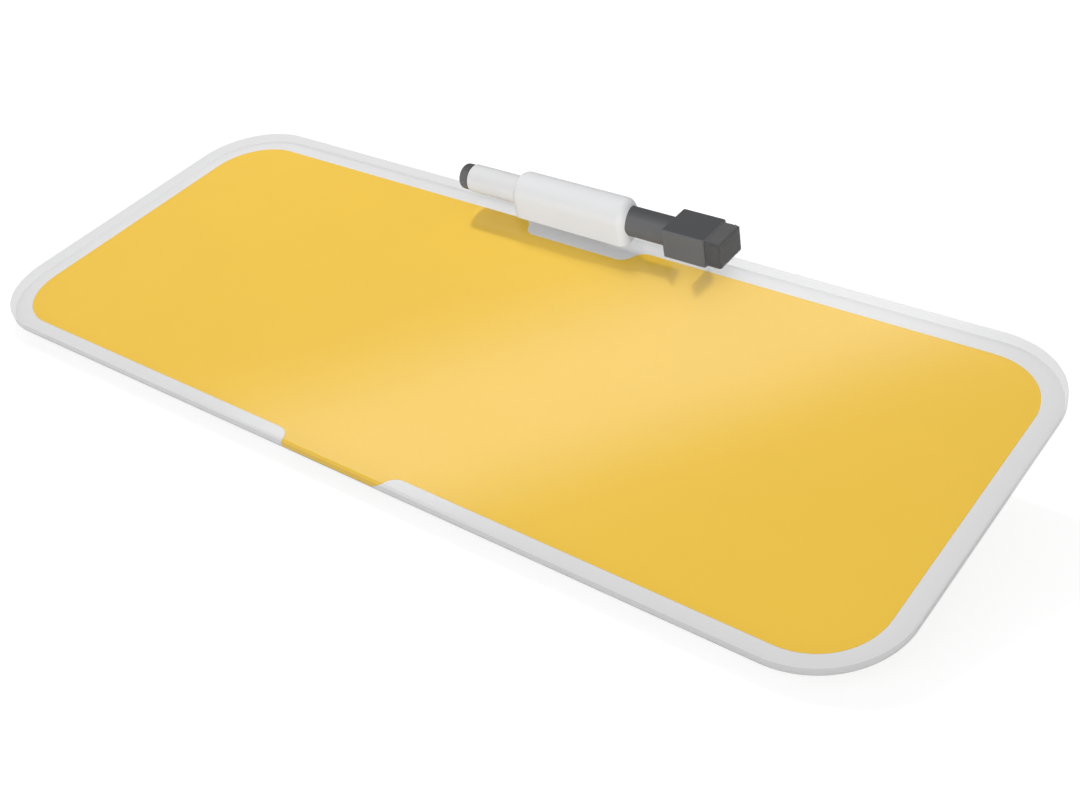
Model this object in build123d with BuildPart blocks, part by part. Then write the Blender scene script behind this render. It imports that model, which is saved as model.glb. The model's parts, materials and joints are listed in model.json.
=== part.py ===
from build123d import *
from math import acos, cos, degrees, radians, sin
import os

# Desk memo board: a sloping glass writing board on a low stand, with a pen that slides
# into a sleeve clipped over the middle of the back edge.
# Millimetres. The origin is the middle of the bottom of the whole object's box, on the desk:
# +X runs along the board, +Y towards its raised back edge, +Z up.

# Glass board
board_length = 380.0
board_depth = 150.0
glass_thickness = 4.0
corner_radius = 30.0
edge_round = 0.7
board_tilt = 14.5
front_lift = 5.0

# Print on the underside of the glass: a pale border round a coloured field
border_width = 7.5
print_thickness = 0.2
print_gap = 0.05
tab_width = 48.6
tab_depth = 7.5
tab_mid_x = 0.3
notch_width = 45.6
notch_mid_x = 0.5
print_curve = 5.5

# Stand under the glass
stand_end_inset = 32.0
stand_front_inset = 14.0
stand_back_inset = 18.0
stand_corner = 20.0
stand_wall = 2.2
stand_edge_chamfer = 0.5
deck_thickness = 2.0
desk_gap = 1.2
rib_thickness = 1.6
cell_count = 9
boss_radius = 3.4
boss_edge_gap = 8.0
bond_thickness = 0.8
bond_width = 12.0
bond_inset = 5.0
bond_side_gap = 6.0

# Cover that closes the stand from below, its screws and feet
cover_thickness = 2.2
cover_gap = 0.2
screw_radius = 1.1
screw_head_radius = 2.1
screw_head_height = 1.1
screw_bite = 3.6
screw_point = 0.4
screw_cross_width = 0.5
screw_cross_length = 2.4
screw_cross_depth = 0.5
hole_gap = 0.05
head_gap = 0.2
foot_radius = 7.0
foot_recess = 0.8
foot_seat_gap = 0.1
foot_edge_round = 0.4
foot_inset_x = 44.0
foot_inset_y = 16.0

# Pen sleeve and the clip that holds it on the back edge of the glass
sleeve_length = 53.2
sleeve_mid_x = -2.6
sleeve_front_inset = 13.0
sleeve_back_reach = 1.6
sleeve_height = 15.5
sleeve_top_round = 7.0
sleeve_end_round = 3.4
sleeve_end_slant = 3.4
sleeve_foot_round = 0.6
clip_gap = 0.05
clip_back_gap = 0.1
clip_length = 38.0
jaw_thickness = 2.0
jaw_front_inset = 1.0
clip_round = 1.2
pad_thickness = 0.8
pad_end_inset = 2.0
pad_front_inset = 1.5
pad_back_inset = 2.0

# Pen: its axis lies along the back edge, over the border
pen_axis_inset = 5.7
pen_axis_z = 7.52
pen_radius = 5.45
sleeve_fit = 0.1
barrel_left = -52.3
barrel_right = 4.0
barrel_wall = 0.9
barrel_chamfer = 0.3
plug_head_length = 4.0
plug_groove_length = 0.5
plug_head_radius = 5.0
plug_head_round = 0.9
plug_stem_length = 6.0
inner_gap = 0.05
reservoir_gap = 0.5
neck_stem_length = 6.0
neck_radius = 4.3
neck_length = 13.0
cone_length = 8.0
nose_radius = 2.4
nose_length = 5.0
nib_radius = 1.2
nib_length = 4.5

# Cap with the eraser block on its end
cap_mouth_gap = 0.1
cap_wall = 1.0
cap_bore_end = 38.0
liner_wall = 1.4
liner_gap = 0.1
liner_lap = 4.0
block_left = 40.3
block_length = 17.2
block_depth = 15.3
block_height = 11.6
block_round = 0.9
block_end_round = 0.5
eraser_wall = 0.7
eraser_gap = 0.05
eraser_pocket = 9.5
eraser_reach = 6.1
eraser_round = 0.7
eraser_end_round = 0.6
eraser_bond_thickness = 0.5
eraser_bond_inset = 1.5

os.makedirs("parts", exist_ok=True)

# Levels measured square to the glass from its top face, and places up its slope from its middle
slope_sine = sin(radians(board_tilt))
slope_cosine = cos(radians(board_tilt))
print_top = -glass_thickness
print_bottom = print_top - print_thickness
deck_level = print_bottom - bond_thickness
pad_top = print_bottom - clip_gap
jaw_top = pad_top - pad_thickness
jaw_bottom = jaw_top - jaw_thickness
board_back = board_depth / 2
pen_axis_y = board_back - pen_axis_inset
sleeve_front_y = board_back - sleeve_front_inset
sleeve_back_y = board_back + sleeve_back_reach

# The glass's middle stands so that the object's box is centred front to back on the origin
front_reach = (edge_round - board_back) * slope_cosine + edge_round * slope_sine - edge_round
back_reach = (
    (sleeve_back_y - clip_round) * slope_cosine
    - (jaw_bottom + clip_round) * slope_sine
    + clip_round
)
glass_mid_y = -(front_reach + back_reach) / 2
glass_mid_z = (
    front_lift
    + (board_back - edge_round) * slope_sine
    + (glass_thickness - edge_round) * slope_cosine
    + edge_round
)
along = Vector(1, 0, 0)
up_slope = Vector(0, slope_cosine, slope_sine)
off_glass = Vector(0, -slope_sine, slope_cosine)
glass_middle = Vector(0, glass_mid_y, glass_mid_z)


def board_point(x, y, z):
    """A place given along the glass, up its slope and off its top face."""
    return glass_middle + along * x + up_slope * y + off_glass * z


def board_plane(z):
    """A plane level with the glass: x along it, y up its slope."""
    return Plane(origin=board_point(0, 0, z), x_dir=along, z_dir=off_glass)


def cross_plane(x, y=0.0, z=0.0):
    """A plane across the board, facing +X: x up its slope, y off the glass."""
    return Plane(origin=board_point(x, y, z), x_dir=up_slope, z_dir=along)


def side_plane(y):
    """A plane along the board, facing its front edge: x along it, y off the glass."""
    return Plane(origin=board_point(0, y, 0), x_dir=along, z_dir=up_slope * -1)


def stand_y(y, z):
    """The level front-to-back place of a point up the slope and off the glass."""
    return board_point(0, y, z).Y


def finish(piece, name):
    """Label a piece and write it."""
    piece.part.label = name
    export_step(piece.part, "parts/" + name + ".step")


# Glass: one sheet with round corners and eased edges
glass_normal = Axis(glass_middle, off_glass)
with BuildPart() as glass_plate:
    with BuildSketch(board_plane(print_top)):
        RectangleRounded(board_length, board_depth, corner_radius)
    extrude(amount=glass_thickness)
    flat_faces = glass_plate.faces().sort_by(glass_normal)
    fillet(flat_faces[0].edges() + flat_faces[-1].edges(), radius=edge_round)
finish(glass_plate, "glass_plate")


def bulge(mid_x, base_y, width, depth):
    """A patch below base_y whose ends are S-curves of two equal arcs, width wide half way down."""
    turn = degrees(acos(1 - depth / (2 * print_curve)))
    half_run = print_curve * sin(radians(turn))
    half_width = width / 2
    left_top = (mid_x - half_width - half_run, base_y)
    right_top = (mid_x + half_width + half_run, base_y)
    with BuildSketch() as patch:
        with BuildLine():
            left_hollow = JernArc(start=left_top, tangent=(1, 0), radius=print_curve, arc_size=-turn)
            left_round = JernArc(
                start=left_hollow @ 1, tangent=left_hollow % 1, radius=print_curve, arc_size=turn
            )
            right_hollow = JernArc(start=right_top, tangent=(-1, 0), radius=print_curve, arc_size=turn)
            right_round = JernArc(
                start=right_hollow @ 1, tangent=right_hollow % 1, radius=print_curve, arc_size=-turn
            )
            Line(left_round @ 1, right_round @ 1)
            lifted_left = (left_top[0], base_y + border_width / 2)
            lifted_right = (right_top[0], base_y + border_width / 2)
            Polyline(left_top, lifted_left, lifted_right, right_top)
        make_face()
    return patch.sketch


# Print: the field has a pale tab cut out under the pen sleeve, and runs to the front edge
# in a notch at the middle of the front
field_length = board_length - 2 * border_width
field_depth = board_depth - 2 * border_width
field_corner = corner_radius - border_width
pale_tab = bulge(tab_mid_x, field_depth / 2, tab_width, tab_depth)
front_notch = bulge(notch_mid_x, -field_depth / 2, notch_width, border_width)
with BuildSketch() as print_outline:
    RectangleRounded(
        board_length - 2 * edge_round, board_depth - 2 * edge_round, corner_radius - edge_round
    )
with BuildSketch() as field_outline:
    RectangleRounded(field_length, field_depth, field_corner)
    add(front_notch)
    add(pale_tab, mode=Mode.SUBTRACT)
with BuildSketch() as border_opening:
    add(field_outline.sketch)
    offset(amount=print_gap)

with BuildPart() as field_print:
    with BuildSketch(board_plane(print_bottom)):
        add(field_outline.sketch)
        add(print_outline.sketch, mode=Mode.INTERSECT)
    extrude(amount=print_thickness)
finish(field_print, "field_print")

with BuildPart() as border_print:
    with BuildSketch(board_plane(print_bottom)):
        add(print_outline.sketch)
        add(border_opening.sketch, mode=Mode.SUBTRACT)
    extrude(amount=print_thickness)
finish(border_print, "border_print")

# Stand: its walls stand upright, inside the glass's edge all round, and its deck lies
# parallel to the glass
stand_length = board_length - 2 * stand_end_inset
deck_front = stand_front_inset - board_back
deck_back = board_back - stand_back_inset
stand_front = stand_y(deck_front, deck_level)
stand_back = stand_y(deck_back, deck_level)
stand_depth = stand_back - stand_front
stand_mid_y = (stand_front + stand_back) / 2
stand_base = Plane(origin=(0, stand_mid_y, desk_gap))
cavity_length = stand_length - 2 * stand_wall
cavity_depth = stand_depth - 2 * stand_wall
cavity_corner = stand_corner - stand_wall
cell_pitch = cavity_length / cell_count
boss_spacing_x = cavity_length - cell_pitch
boss_spacing_y = cavity_depth - 2 * boss_edge_gap
boss_columns = 3
boss_rows = 2
boss_grid = GridLocations(boss_spacing_x / (boss_columns - 1), boss_spacing_y, boss_columns, boss_rows)

with BuildPart() as cover_pocket:
    with BuildSketch(stand_base):
        RectangleRounded(cavity_length, cavity_depth, cavity_corner)
    extrude(amount=cover_thickness)

with BuildPart() as stand_cells:
    with BuildSketch(stand_base.offset(cover_thickness)):
        RectangleRounded(cavity_length, cavity_depth, cavity_corner)
        with GridLocations(cell_pitch, 0, cell_count - 1, 1):
            Rectangle(rib_thickness, cavity_depth, mode=Mode.SUBTRACT)
        Rectangle(cavity_length, rib_thickness, mode=Mode.SUBTRACT)
        with boss_grid:
            Circle(boss_radius, mode=Mode.SUBTRACT)
    extrude(amount=board_depth)
    split(bisect_by=board_plane(deck_level - deck_thickness), keep=Keep.BOTTOM)

with BuildPart() as stand_shell:
    with BuildSketch(stand_base):
        RectangleRounded(stand_length, stand_depth, stand_corner)
    extrude(amount=board_depth)
    split(bisect_by=board_plane(deck_level), keep=Keep.BOTTOM)
    rim_faces = stand_shell.faces().sort_by(Axis.Z)
    chamfer(rim_faces[0].edges(), length=stand_edge_chamfer)
    add(cover_pocket.part, mode=Mode.SUBTRACT)
    add(stand_cells.part, mode=Mode.SUBTRACT)
    with BuildSketch(stand_base.offset(cover_thickness)):
        with boss_grid:
            Circle(screw_radius + hole_gap)
    extrude(amount=screw_bite, mode=Mode.SUBTRACT)
finish(stand_shell, "stand_shell")

# Cover: drops into the stand's rim against the bosses, with sunk screw heads and foot seats
foot_spacing_x = stand_length - 2 * foot_inset_x
foot_spacing_y = stand_depth - 2 * foot_inset_y
head_recess = screw_head_height + head_gap
with BuildPart() as stand_cover:
    with BuildSketch(stand_base):
        RectangleRounded(
            cavity_length - 2 * cover_gap, cavity_depth - 2 * cover_gap, cavity_corner - cover_gap
        )
    extrude(amount=cover_thickness)
    with BuildSketch(stand_base):
        with boss_grid:
            Circle(screw_radius + hole_gap)
    extrude(amount=cover_thickness, mode=Mode.SUBTRACT)
    with BuildSketch(stand_base):
        with boss_grid:
            Circle(screw_head_radius + head_gap)
    extrude(amount=head_recess, mode=Mode.SUBTRACT)
    with BuildSketch(stand_base):
        with GridLocations(foot_spacing_x, foot_spacing_y, 2, 2):
            Circle(foot_radius + foot_seat_gap)
    extrude(amount=foot_recess, mode=Mode.SUBTRACT)
finish(stand_cover, "stand_cover")

# Screws: pan heads against the floor of their recesses, shanks up into the bosses
with BuildPart() as cover_screws:
    head_plane = stand_base.offset(head_gap)
    with BuildSketch(head_plane):
        with boss_grid:
            Circle(screw_head_radius)
    extrude(amount=screw_head_height)
    with BuildSketch(head_plane.offset(screw_head_height)):
        with boss_grid:
            Circle(screw_radius)
    shank_length = cover_thickness - head_recess + screw_bite
    extrude(amount=shank_length - hole_gap)
    shank_ends = cover_screws.faces().filter_by(Axis.Z).group_by(Axis.Z)[-1]
    chamfer(shank_ends.edges(), length=screw_point)
    with BuildSketch(head_plane):
        with boss_grid:
            Rectangle(screw_cross_length, screw_cross_width)
            Rectangle(screw_cross_width, screw_cross_length)
    extrude(amount=screw_cross_depth, mode=Mode.SUBTRACT)
finish(cover_screws, "cover_screws")

# Feet: soft discs in the cover's seats, resting on the desk
foot_height = desk_gap + foot_recess
for row_name, row_side in (("front", -1), ("rear", 1)):
    for end_name, end_side in (("left", -1), ("right", 1)):
        foot_x = end_side * foot_spacing_x / 2
        foot_y = stand_mid_y + row_side * foot_spacing_y / 2
        with BuildPart() as rubber_foot:
            with BuildSketch(Plane(origin=(foot_x, foot_y, 0))):
                Circle(foot_radius)
            extrude(amount=foot_height)
            foot_sole = rubber_foot.faces().sort_by(Axis.Z)[0]
            fillet(foot_sole.edges(), radius=foot_edge_round)
        finish(rubber_foot, "rubber_foot_" + row_name + "_" + end_name)

# Bonding strips: soft tape between the stand's deck and the print, round the deck's edge
deck_mid = (deck_front + deck_back) / 2
long_strip_length = stand_length - 2 * stand_corner
strip_offset_y = (deck_back - deck_front) / 2 - bond_inset - bond_width / 2
side_strip_length = 2 * strip_offset_y - bond_width - 2 * bond_side_gap
strip_offset_x = stand_length / 2 - bond_inset - bond_width / 2
bond_strips = (
    ("front", 0, deck_mid - strip_offset_y, long_strip_length, bond_width),
    ("rear", 0, deck_mid + strip_offset_y, long_strip_length, bond_width),
    ("left", -strip_offset_x, deck_mid, bond_width, side_strip_length),
    ("right", strip_offset_x, deck_mid, bond_width, side_strip_length),
)
for strip_name, strip_x, strip_y, strip_length, strip_width in bond_strips:
    with BuildPart() as bond_strip:
        with BuildSketch(board_plane(deck_level)):
            with Locations((strip_x, strip_y)):
                Rectangle(strip_length, strip_width)
        extrude(amount=bond_thickness)
    finish(bond_strip, "bond_strip_" + strip_name)

# Pen sleeve: a thick tube with a flat foot on the glass, a web behind the glass's back edge
# and a jaw under it, in one moulding
sleeve_left = sleeve_mid_x - sleeve_length / 2
sleeve_right = sleeve_mid_x + sleeve_length / 2
web_front = board_back + clip_back_gap
jaw_front = sleeve_front_y + jaw_front_inset
bore_radius = pen_radius + sleeve_fit
with BuildPart() as pen_holder:
    with BuildSketch(board_plane(clip_gap)):
        with BuildLine():
            Polyline(
                (sleeve_left, sleeve_front_y),
                (sleeve_right, sleeve_front_y),
                (sleeve_right - sleeve_end_slant, sleeve_back_y),
                (sleeve_left, sleeve_back_y),
                close=True,
            )
        make_face()
    extrude(amount=sleeve_height - clip_gap)
    top_face = pen_holder.faces().sort_by(glass_normal)[-1]
    fillet(top_face.edges().filter_by(Axis.X), radius=sleeve_top_round)
    end_faces = pen_holder.faces().sort_by(Axis.X)
    for end_face in (end_faces[0], end_faces[-1]):
        fillet(end_face.edges().sort_by(glass_normal)[1:], radius=sleeve_end_round)
    foot_edges = pen_holder.edges().filter_by(Axis.X).group_by(glass_normal)[0]
    fillet(foot_edges.sort_by(Axis.Y)[0], radius=sleeve_foot_round)
    with BuildSketch(cross_plane(sleeve_mid_x - clip_length / 2)) as clip_section:
        with BuildLine():
            Polyline(
                (web_front, clip_gap),
                (sleeve_back_y, clip_gap),
                (sleeve_back_y, jaw_bottom),
                (jaw_front, jaw_bottom),
                (jaw_front, jaw_top),
                (web_front, jaw_top),
                close=True,
            )
        make_face()
        lower_corner = clip_section.vertices().sort_by_distance((sleeve_back_y, jaw_bottom))[0]
        fillet(lower_corner, radius=clip_round)
    extrude(amount=clip_length)
    with BuildSketch(cross_plane(sleeve_left, pen_axis_y, pen_axis_z)):
        Circle(bore_radius)
    extrude(amount=sleeve_length, mode=Mode.SUBTRACT)
finish(pen_holder, "pen_holder")

# Grip pad: soft strip on the jaw, under the print's border
with BuildPart() as grip_pad:
    pad_front = jaw_front + pad_front_inset
    pad_back = web_front - pad_back_inset
    with BuildSketch(board_plane(jaw_top)):
        with Locations((sleeve_mid_x, (pad_front + pad_back) / 2)):
            Rectangle(clip_length - 2 * pad_end_inset, pad_back - pad_front)
    extrude(amount=pad_thickness)
finish(grip_pad, "grip_pad")


def pen_section(x):
    """A plane across the pen at x, facing +X, centred on the pen's axis."""
    return cross_plane(x, pen_axis_y, pen_axis_z)


def end_edges(piece, side):
    """The edges of a pen piece's flat face that lies furthest left or right."""
    ends = piece.faces().filter_by(Axis.X).sort_by(Axis.X)
    if side == "right":
        return ends[-1].edges()
    return ends[0].edges()


# Barrel: a plain tube, open at both ends
barrel_bore = pen_radius - barrel_wall
with BuildPart() as pen_barrel:
    with BuildSketch(pen_section(barrel_left)):
        Circle(pen_radius)
    extrude(amount=barrel_right - barrel_left)
    chamfer(end_edges(pen_barrel, "left") + end_edges(pen_barrel, "right"), length=barrel_chamfer)
    with BuildSketch(pen_section(barrel_left)):
        Circle(barrel_bore)
    extrude(amount=barrel_right - barrel_left, mode=Mode.SUBTRACT)
finish(pen_barrel, "pen_barrel")

# End plug: a dark round head, a groove, and a stem in the barrel's left end
stem_radius = barrel_bore - inner_gap
plug_left = barrel_left - plug_groove_length - plug_head_length
plug_right = barrel_left + plug_stem_length
with BuildPart() as pen_end_plug:
    with BuildSketch(pen_section(plug_left)):
        Circle(plug_head_radius)
    extrude(amount=plug_head_length)
    fillet(end_edges(pen_end_plug, "left"), radius=plug_head_round)
    with BuildSketch(pen_section(plug_left + plug_head_length)):
        Circle(stem_radius)
    extrude(amount=plug_groove_length + plug_stem_length)
finish(pen_end_plug, "pen_end_plug")

# Neck: a stem in the barrel's right end, then a neck, cone and nose that hold the nib
neck_left = barrel_right - neck_stem_length
neck_right = barrel_right + neck_length
nose_left = neck_right + cone_length
nose_right = nose_left + nose_length
with BuildPart() as nib_holder:
    with BuildSketch(pen_section(neck_left)):
        Circle(stem_radius)
    extrude(amount=neck_stem_length)
    with BuildSketch(pen_section(barrel_right)):
        Circle(neck_radius)
    extrude(amount=neck_length)
    with BuildSketch(pen_section(neck_right)):
        Circle(neck_radius)
    with BuildSketch(pen_section(nose_left)):
        Circle(nose_radius)
    loft()
    with BuildSketch(pen_section(nose_left)):
        Circle(nose_radius)
    extrude(amount=nose_length)
    with BuildSketch(pen_section(neck_left)):
        Circle(nib_radius + inner_gap)
    extrude(amount=nose_right - neck_left, mode=Mode.SUBTRACT)
finish(nib_holder, "nib_holder")

# Ink reservoir: a fibre rod between the plug's stem and the neck's stem
with BuildPart() as ink_reservoir:
    with BuildSketch(pen_section(plug_right)):
        Circle(barrel_bore - reservoir_gap)
    extrude(amount=neck_left - plug_right)
finish(ink_reservoir, "ink_reservoir")

# Nib: a fibre rod from the reservoir out through the nose, with a round tip
nib_right = nose_right + nib_length
with BuildPart() as nib:
    with BuildSketch(pen_section(neck_left)):
        Circle(nib_radius)
    extrude(amount=nib_right - neck_left)
    fillet(end_edges(nib, "right"), radius=nib_radius - inner_gap)
finish(nib, "nib")

# Cap: a tube as thick as the barrel, ending in a block with a pocket for the eraser
cap_left = barrel_right + cap_mouth_gap
cap_bore = pen_radius - cap_wall
block_right = block_left + block_length
pocket_floor = block_right - eraser_pocket
pocket_depth = block_depth - 2 * eraser_wall
pocket_height = block_height - 2 * eraser_wall
with BuildPart() as pen_cap:
    with BuildSketch(pen_section(block_left)):
        RectangleRounded(block_depth, block_height, block_round)
    extrude(amount=block_length)
    fillet(end_edges(pen_cap, "left") + end_edges(pen_cap, "right"), radius=block_end_round)
    with BuildSketch(pen_section(cap_left)):
        Circle(pen_radius)
    extrude(amount=block_left - cap_left + block_end_round)
    with BuildSketch(pen_section(cap_left)):
        Circle(cap_bore)
    extrude(amount=cap_bore_end - cap_left, mode=Mode.SUBTRACT)
    with BuildSketch(pen_section(pocket_floor)):
        RectangleRounded(pocket_depth, pocket_height, eraser_round + eraser_gap)
    extrude(amount=eraser_pocket, mode=Mode.SUBTRACT)
finish(pen_cap, "pen_cap")

# Cap liner: a soft cup at the end of the cap's bore that seals round the nose
liner_left = nose_right - liner_lap
with BuildPart() as cap_liner:
    with BuildSketch(pen_section(liner_left)):
        Circle(cap_bore - inner_gap)
    extrude(amount=cap_bore_end - liner_left)
    with BuildSketch(pen_section(liner_left)):
        Circle(nose_radius + liner_gap)
    extrude(amount=cap_bore_end - liner_left - liner_wall, mode=Mode.SUBTRACT)
finish(cap_liner, "cap_liner")

# Eraser: a felt block in the cap's pocket, on an adhesive pad
eraser_left = pocket_floor + eraser_bond_thickness
eraser_right = block_right + eraser_reach
with BuildPart() as eraser_felt:
    with BuildSketch(pen_section(eraser_left)):
        RectangleRounded(
            pocket_depth - 2 * eraser_gap, pocket_height - 2 * eraser_gap, eraser_round
        )
    extrude(amount=eraser_right - eraser_left)
    fillet(end_edges(eraser_felt, "right"), radius=eraser_end_round)
finish(eraser_felt, "eraser_felt")

with BuildPart() as eraser_bond:
    with BuildSketch(pen_section(pocket_floor)):
        Rectangle(pocket_depth - 2 * eraser_bond_inset, pocket_height - 2 * eraser_bond_inset)
    extrude(amount=eraser_bond_thickness)
finish(eraser_bond, "eraser_bond")
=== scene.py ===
"""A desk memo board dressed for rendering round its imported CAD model.

The board is a sloping sheet of glass with a printed back, on a low moulded stand. A marker
pen with an eraser cap lies in a sleeve that clips over the middle of the back edge.
Lengths are metres. The glass and the felt are made in the board's own directions, x along
it, y up its slope and z off its face, and are then set in the frame's directions. The
screws and the feet stand upright, and are made in the frame's directions.
"""

import enum
import json
import logging
import math
from collections.abc import Sequence
from dataclasses import dataclass
from functools import cache

import bmesh
import bpy
from bmesh.types import BMesh
from bpy.types import Material, Mesh, Node, NodeTree, Object
from bpy.types import NodeSocket as Socket
from mathutils import Matrix, Vector, noise


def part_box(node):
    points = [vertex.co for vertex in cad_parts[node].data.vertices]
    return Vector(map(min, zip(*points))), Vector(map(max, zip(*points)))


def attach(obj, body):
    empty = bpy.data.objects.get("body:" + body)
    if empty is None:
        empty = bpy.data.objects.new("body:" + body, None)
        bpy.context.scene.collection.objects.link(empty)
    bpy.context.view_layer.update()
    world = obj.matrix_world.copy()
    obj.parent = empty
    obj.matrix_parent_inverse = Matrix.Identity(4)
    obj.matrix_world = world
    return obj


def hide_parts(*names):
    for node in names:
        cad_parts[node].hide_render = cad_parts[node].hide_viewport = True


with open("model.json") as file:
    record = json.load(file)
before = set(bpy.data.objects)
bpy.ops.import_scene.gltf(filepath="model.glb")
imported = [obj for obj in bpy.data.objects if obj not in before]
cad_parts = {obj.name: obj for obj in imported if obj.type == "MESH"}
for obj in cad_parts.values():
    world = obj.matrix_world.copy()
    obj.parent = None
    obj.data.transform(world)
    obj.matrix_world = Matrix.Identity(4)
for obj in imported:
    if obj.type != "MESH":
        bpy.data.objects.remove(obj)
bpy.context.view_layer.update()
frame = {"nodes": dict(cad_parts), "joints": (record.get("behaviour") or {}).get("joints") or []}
LOG = logging.getLogger("memo_board")

Colour = tuple[float, float, float]
Rgba = tuple[float, float, float, float]
Point = tuple[float, float, float]
Sockets = dict[str | int, object]
Outputs = bpy.types.bpy_prop_collection
Values = tuple[Socket, Socket, Socket]


# Node trees


FLOAT, VECTOR, INTEGER = "NodeSocketFloat", "NodeSocketVector", "NodeSocketInt"
OBJECT, MATERIAL, GEOMETRY = "NodeSocketObject", "NodeSocketMaterial", "NodeSocketGeometry"


@dataclass
class Graph:
    """Adds nodes to one shader or geometry tree and links them."""

    tree: NodeTree

    def feed(self, node: Node, sockets: Sockets) -> Node:
        """Sets or links some of a node's inputs.

        Args:
            node: the node.
            sockets: a value, or an output socket to link, for each of those inputs.

        Returns:
            The same node.
        """
        for key, value in sockets.items():
            if isinstance(value, Socket):
                self.tree.links.new(value, node.inputs[key])
            else:
                node.inputs[key].default_value = value
        return node

    def add(self, kind: str, sockets: Sockets | None = None, **settings: object) -> Node:
        """Adds one node.

        Args:
            kind: the node's type name.
            sockets: its inputs' values or links.
            settings: its own properties, set before its sockets.

        Returns:
            The new node.
        """
        node = self.tree.nodes.new(kind)
        for name, value in settings.items():
            setattr(node, name, value)
        return self.feed(node, sockets or {})

    def out(self, kind: str, sockets: Sockets | None = None, **settings: object) -> Socket:
        """Adds one node and returns its first output."""
        return self.add(kind, sockets, **settings).outputs[0]

    def math(self, operation: str, first: object, second: object = 0.0) -> Socket:
        """Adds a Math node and returns its result."""
        return self.out("ShaderNodeMath", {0: first, 1: second}, operation=operation)

    def weigh(self, first: Socket, weight: float, second: Socket, other: float) -> Socket:
        """Adds two values, each times its own weight."""
        weighed = self.math("MULTIPLY", first, weight)
        return self.math("ADD", weighed, self.math("MULTIPLY", second, other))

    def spread(
        self, value: Socket, low: float, high: float, start: float = 0.0, end: float = 1.0
    ) -> Socket:
        """Maps a value from the range start to end onto low to high, and keeps it there."""
        ranges = {"From Min": start, "From Max": end, "To Min": low, "To Max": high}
        return self.add("ShaderNodeMapRange", {"Value": value, **ranges}).outputs["Result"]

    def blend(self, mask: Socket, first: object, second: object) -> Socket:
        """Mixes two colours.

        Args:
            mask: how much of the second colour shows.
            first: the first colour, or its socket.
            second: the second colour, or its socket.

        Returns:
            The mixed colour's socket.
        """
        node = self.add("ShaderNodeMix", {0: mask}, data_type="RGBA")
        ends = [key for key, socket in enumerate(node.inputs) if socket.type == "RGBA"]
        self.feed(node, dict(zip(ends, (first, second))))
        return next(socket for socket in node.outputs if socket.type == "RGBA")

    def vector(self, **parts: object) -> Socket:
        """Adds a vector from its X, Y or Z, the others 0."""
        return self.out("ShaderNodeCombineXYZ", parts)

    def part(self, vector: Socket, axis: str) -> Socket:
        """Takes the X, Y or Z of a vector."""
        return self.add("ShaderNodeSeparateXYZ", {0: vector}).outputs[axis]

    def chance(self, seed: Socket, low: object, high: object) -> Socket:
        """Adds a random number from low to high, another one for each point."""
        sockets = {2: low, 3: high, "Seed": seed}
        return self.add("FunctionNodeRandomValue", sockets, data_type="FLOAT").outputs[1]

    def join(self, first: Socket, second: Socket) -> Socket:
        """Joins two geometries."""
        joined = self.add("GeometryNodeJoinGeometry", {0: first})
        return self.feed(joined, {0: second}).outputs[0]

    def end(self, whole: Socket, finish: Socket) -> NodeTree:
        """Ends a geometry tree with real copies in one finish.

        Args:
            whole: the geometry's socket.
            finish: the material's socket.

        Returns:
            The tree.
        """
        whole = self.out("GeometryNodeRealizeInstances", {0: whole})
        whole = self.out("GeometryNodeSetMaterial", {"Geometry": whole, "Material": finish})
        self.add("NodeGroupOutput", {0: whole})
        return self.tree


def new_group(
    name: str, kind: str, inputs: dict[str, str], outputs: dict[str, str]
) -> tuple[Graph, Outputs]:
    """Makes a node group with named sockets.

    Args:
        name: the group's name.
        kind: the tree's type name.
        inputs: each input's socket type.
        outputs: each output's socket type.

    Returns:
        A graph of the group's tree, and the sockets of its inputs.
    """
    tree = bpy.data.node_groups.new(name, kind)
    for way, sockets in (("INPUT", inputs), ("OUTPUT", outputs)):
        for label, socket_type in sockets.items():
            tree.interface.new_socket(label, in_out=way, socket_type=socket_type)
    graph = Graph(tree)
    return graph, graph.add("NodeGroupInput").outputs


# Shared surface effects


class Effect(enum.Enum):
    """The effects that more than one finish uses, each a shader node group."""

    GRAIN = "mould grain"
    MARKS = "handling marks"
    NAP = "fibre nap"
    SKIN = "paint skin"


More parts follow.
